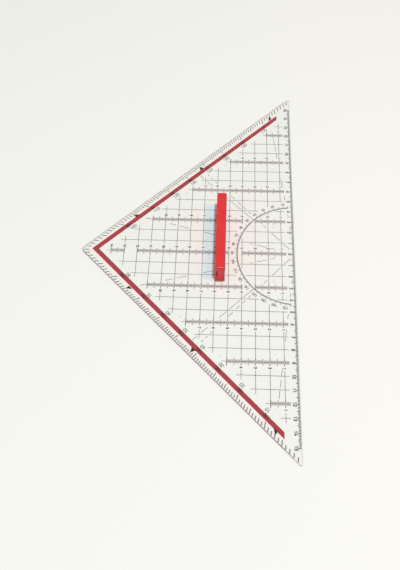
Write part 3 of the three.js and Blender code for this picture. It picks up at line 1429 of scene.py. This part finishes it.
@dataclass
class CentimetreGrid:
    """The grid with its millimetre columns every 3 cm and the numbers beside them."""

    protractor: Protractor
    holes: tuple[Place, ...]
    hole_clear: float = 3.1
    pitch: int = 10
    start: float = 6.8
    reach: float = 143.5
    band: Span = (42.4, 48.5)
    tick_half: float = 1.4
    long_tick_half: float = 2.6
    number_height: float = 2.2
    pen: float = 0.48
    tick: float = 0.8
    number_aside: float = 4.4
    number_clear: float = 1.7
    two_digits: float = 1.35  # how much wider the gap is for a number of two digits
    shortest: float = 0.8  # a piece of a line that is no longer than this is left out
    columns: dict[int, tuple[Span, ...]] = field(
        default_factory=lambda: {
            0: ((6, 40), (50, 120), (130, 140)),
            30: ((6, 30), (40, 110)),
            60: ((6, 80),),
            90: ((6, 50),),
            120: ((6, 20),),
        }
    )
    bare: dict[int, tuple[Span, ...]] = field(default_factory=lambda: {0: ((40, 50), (120, 130))})
    last_numbers: dict[int, int] = field(default_factory=lambda: {0: 14, 30: 10, 60: 7, 90: 4, 120: 1})
    no_number: tuple[int, int] = (30, 3)  # the protractor's arc runs through its place

    def number_places(self) -> list[tuple[int, Place]]:
        """Place each column's numbers, on the side away from the middle, or on +x for the middle column.

        Returns:
            Each number in centimetres and its place.
        """
        found = []
        for column, last in self.last_numbers.items():
            for cm in range(1, last + 1):
                for sign in (1, -1) if column else (1,):
                    if (column, cm) != self.no_number:
                        found.append((cm, (sign * (column + self.number_aside), cm * MM_PER_CM)))
        return found

    @staticmethod
    def inside(places: Iterable[Place], clear: float, vertical: bool, value: float) -> list[Span]:
        """Where a line runs through circles.

        Args:
            places: the circles' centres.
            clear: their radius.
            vertical: True for a line away from the long edge, False for one along it.
            value: the line's x or v.

        Returns:
            The spans along the line that lie inside them.
        """
        found = []
        for place in places:
            across, along = place if vertical else place[::-1]
            if abs(across - value) < clear:
                half = math.sqrt(clear * clear - (across - value) ** 2)
                found.append((along - half, along + half))
        return found

    def gaps(self, vertical: bool, value: float) -> list[Span]:
        """Where a grid line is left out.

        Args:
            vertical: True for a line away from the long edge, False for one along it.
            value: the line's x or v.

        Returns:
            The spans along the line that stay bare.
        """
        gaps: list[Span] = []
        low, high = (math.sqrt(max(r * r - value * value, 0.0)) for r in self.band)
        if abs(value) < self.band[1]:
            gaps += [(low, high)] if vertical else [(low, high), (-high, -low)]
        labels = self.protractor.label_places().values()
        gaps += self.inside(labels, self.protractor.label_clear, vertical, value)
        gaps += self.inside(self.holes, self.hole_clear, vertical, value)
        if vertical:
            gaps += self.bare.get(int(abs(value)), ())
        else:
            for number, (x, v) in self.number_places():
                if v == value:
                    half = self.number_clear * (self.two_digits if number > 9 else 1.0)
                    gaps.append((x - half, x + half))
            for column, spans in self.columns.items():
                if any(low < value < high for low, high in spans):
                    gaps += [(x - self.tick_half, x + self.tick_half) for x in (column, -column)]
        return gaps

    def pieces_of(self, span: Span, gaps: Sequence[Span]) -> list[Span]:
        """Take gaps out of a span.

        Args:
            span: the span.
            gaps: what is left out of it.

        Returns:
            The pieces that are left.
        """
        left = [span]
        for low, high in gaps:
            left = [
                part
                for a, b in left
                for part in ((a, min(b, low)), (max(a, high), b))
                if part[1] - part[0] > self.shortest
            ]
        return left

    def rules(self) -> list[Rule]:
        """Lay out the grid's lines.

        Returns:
            All of them.
        """
        found = []
        last = int(self.reach // self.pitch) * self.pitch
        for x in range(-last, last + 1, self.pitch):
            top = self.reach - abs(x)
            if top > self.start:
                for low, high in self.pieces_of((self.start, top), self.gaps(True, x)):
                    found.append(Rule((x, low), (x, high)))
        for v in range(self.pitch, last + 1, self.pitch):
            half = self.reach - v
            for low, high in self.pieces_of((-half, half), self.gaps(False, v)):
                found.append(Rule((low, v), (high, v)))
        return found

    def build(self, press: Printing, hand: Lettering) -> None:
        """Print the lines, the millimetre columns and the numbers.

        Args:
            press: the press that prints it.
            hand: the hand that writes its numbers.
        """
        press.lay("centimetre_grid", [press.lines(self.rules())])
        rows = []
        for column, spans in self.columns.items():
            for x in sorted({column, -column}):
                at_holes = self.inside(self.holes, self.hole_clear, True, x)
                for low, high in (part for span in spans for part in self.pieces_of(span, at_holes)):
                    first = math.ceil(low) + (1 if low < self.pitch else 0)
                    rows.append(
                        press.scale_row(
                            (x, 0), 90, Count=math.floor(high) - first + 1, First=first, Spacing=1, Side=0,
                            Short=2 * self.tick_half, Middle=2 * self.long_tick_half, Long=2 * self.long_tick_half,
                            Width=self.tick, ink=FINE_INK,
                        )
                    )
        press.lay("millimetre_columns", rows, Layer.FINE, FINE_INK)
        numbers = [(number, place, READ_FROM_APEX) for number, place in self.number_places()]
        press.lay("grid_numbers", [hand.write(numbers, self.number_height, self.pen)])


@dataclass
class GuideLines:
    """The dashed guide lines at the angles that technical drawing uses, the same on both sides."""

    dashes: dict[float, tuple[Span, ...]] = field(
        default_factory=lambda: {
            7.0: ((22.2, 25.7), (34.3, 37.8), (52.4, 56.0), (65.0, 70.0), (71.5, 73.8), (95.0, 101.5),
                  (103.5, 109.0), (111.0, 117.4)),
            42.0: ((5.5, 12.8), (16.5, 25.9), (31.9, 35.4), (49.9, 52.5), (55.6, 58.8), (61.6, 65.5),
                   (69.0, 73.6), (90.5, 92.7), (95.6, 97.8), (99.8, 102.2)),
            45.0: ((44.5, 55.2), (58.3, 69.3), (72.5, 79.4), (90.9, 97.2), (101.1, 105.4)),
            75.0: ((15.5, 19.2), (21.7, 30.0), (32.6, 35.2), (63.2, 71.4), (84.4, 91.6), (94.7, 100.3),
                   (116.8, 119.6)),
        }
    )

    def build(self, press: Printing) -> None:
        """Print the dashes.

        Args:
            press: the press that prints them.
        """
        rules = [
            Rule.radial(a, span)
            for angle, spans in self.dashes.items()
            for a in (angle, 180 - angle)
            for span in spans
        ]
        press.lay("guide_lines", [press.lines(rules)])


# ---------------------------------------------------------------- studio


class Shine(Enum):
    """What a lamp's light shows in: a surface's colour, or its gloss."""

    COLOUR = (True, False)
    GLOSS = (False, True)


@dataclass(frozen=True)
class Lamp:
    """One lamp over the object.

    Attributes:
        name: its name.
        lean: how far its direction leans to X and Y for each metre up.
        size: its side in metres.
        share: what it gives the floor in red, green and blue, where all the light together is 1.
        shine: what its light shows in.
    """

    name: str
    lean: Place
    size: float
    share: tuple[float, float, float]
    shine: Shine


@dataclass
class Studio:
    """The floor, the light and the camera at the photograph's angle."""

    floor_half: float = 3.0
    sky: str = "9b9fa3"
    ceiling: str = "bcc0c6"
    skirting: str = "cfcdc8"
    skirting_top: float = 0.12
    ceiling_foot: float = 0.75
    lamps: tuple[Lamp, ...] = (
        Lamp("ceiling_lamp", (-0.22, -0.115), 0.18, (0.456, 0.621, 0.682), Shine.COLOUR),
        Lamp("side_lamp", (-0.17, -0.46), 0.21, (0.235, 0.068, 0.004), Shine.COLOUR),
        Lamp("handle_shine", (-0.22, -0.045), 0.35, (0.85, 0.92, 0.92), Shine.GLOSS),
    )
    lamp_height: float = 2.4
    camera_at: tuple[float, float, float] = (-0.28601, -0.02597, 0.434665)
    camera_right: tuple[float, float, float] = (0.03827, -0.99917, -0.01375)
    camera_down: tuple[float, float, float] = (-0.85959, -0.02590, -0.51033)
    focal_px: float = 680.79
    picture_height_px: float = 570.0
    sensor: float = 36.0
    clip: Span = (0.01, 50.0)

    def floor(self) -> None:
        """Lay the paper."""
        mesh = bmesh.new()
        half = self.floor_half
        corners = ((-half, -half), (half, -half), (half, half), (-half, half))
        mesh.faces.new([mesh.verts.new((x, y, 0)) for x, y in corners])
        drawn(mesh, "paper_floor", PAPER)

    def world(self) -> None:
        """Light the scene evenly, and show a white room to the eye and in gloss and clear plastic."""
        world = bpy.data.worlds.new("white_room")
        bpy.context.scene.world = world
        world.use_nodes = True
        tree = world.node_tree
        tree.nodes.clear()
        path = add_node(tree, "ShaderNodeLightPath").outputs
        seen: bpy.types.NodeSocket = path["Is Camera Ray"]
        for ray in ("Is Glossy Ray", "Is Transmission Ray"):
            seen = add_node(tree, "ShaderNodeMath", {0: seen, 1: path[ray]}, operation="MAXIMUM").outputs[0]
        direction = add_node(tree, "ShaderNodeTexCoord").outputs["Generated"]
        height = add_node(tree, "ShaderNodeSeparateXYZ", {0: direction}).outputs[2]
        share = add_node(
            tree,
            "ShaderNodeMapRange",
            {"Value": height, "From Min": self.skirting_top, "From Max": self.ceiling_foot},
            interpolation_type="SMOOTHSTEP",
        ).outputs[0]
        colours = {6: linear(self.skirting), 7: linear(self.ceiling)}
        walls = add_node(tree, "ShaderNodeMix", {0: share, **colours}, data_type="RGBA").outputs[2]
        light = add_node(tree, "ShaderNodeBackground", {"Color": linear(self.sky)})
        room = add_node(tree, "ShaderNodeBackground", {"Color": walls})
        both = add_node(tree, "ShaderNodeMixShader", {0: seen, 1: light.outputs[0], 2: room.outputs[0]})
        add_node(tree, "ShaderNodeOutputWorld", {"Surface": both.outputs[0]})

    def hang(self, kind: Lamp) -> None:
        """Hang one lamp over the object.

        Args:
            kind: the lamp.
        """
        away = Vector((*kind.lean, 1.0)) * self.lamp_height
        brightest = max(kind.share)
        data = bpy.data.lights.new(kind.name, "AREA")
        data.size = kind.size
        data.color = tuple(c / brightest for c in kind.share)
        # A lamp that faces its target gives the floor power * cos / (pi * pi * distance squared).
        data.energy = brightest * math.pi**2 * away.length_squared / away.normalized().z
        lamp = bpy.data.objects.new(kind.name, data)
        lamp.visible_diffuse, lamp.visible_glossy = kind.shine.value
        lamp.visible_transmission = lamp.visible_glossy
        lamp.location = away
        lamp.rotation_euler = away.to_track_quat("Z", "Y").to_euler()
        bpy.context.scene.collection.objects.link(lamp)

    @staticmethod
    def keep_to(name: str, piece: bpy.types.Object) -> None:
        """Let one lamp shine on one piece alone.

        Args:
            name: the lamp's name.
            piece: what it shines on.
        """
        only = bpy.data.collections.new(f"under_{name}")
        only.objects.link(piece)
        bpy.data.objects[name].light_linking.receiver_collection = only

    def camera(self) -> None:
        """Stand the camera where the photograph was taken."""
        right, down = Vector(self.camera_right), Vector(self.camera_down)
        back = right.cross(-down)
        data = bpy.data.cameras.new("photo_camera")
        data.sensor_fit, data.sensor_width = "AUTO", self.sensor
        data.lens = self.sensor * self.focal_px / self.picture_height_px
        data.clip_start, data.clip_end = self.clip
        camera = bpy.data.objects.new("photo_camera", data)
        turn = Matrix((right, -down, back)).transposed().to_4x4()
        camera.matrix_world = Matrix.Translation(self.camera_at) @ turn
        bpy.context.scene.collection.objects.link(camera)
        bpy.context.scene.camera = camera

    def build(self) -> None:
        """Set up the whole studio."""
        self.floor()
        self.world()
        for lamp in self.lamps:
            self.hang(lamp)
        self.camera()
        bpy.context.scene.view_settings.view_transform = "Standard"


def main() -> None:
    """Build the sub-assemblies in order."""
    logging.basicConfig(level=logging.INFO, format="%(name)s %(message)s")
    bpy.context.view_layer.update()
    studio = Studio()
    studio.build()
    plate = ClearPlate()
    plate.build()
    studio.keep_to("handle_shine", BarHandle().build(plate))
    press = Printing(plate)
    hand = Lettering(press)
    protractor = Protractor()
    EdgeScale().build(press, hand)
    AngleScales().build(press, hand)
    protractor.build(press, hand)
    CentimetreGrid(protractor, plate.hole_places).build(press, hand)
    GuideLines().build(press)


if __name__ == "__main__":
    main()
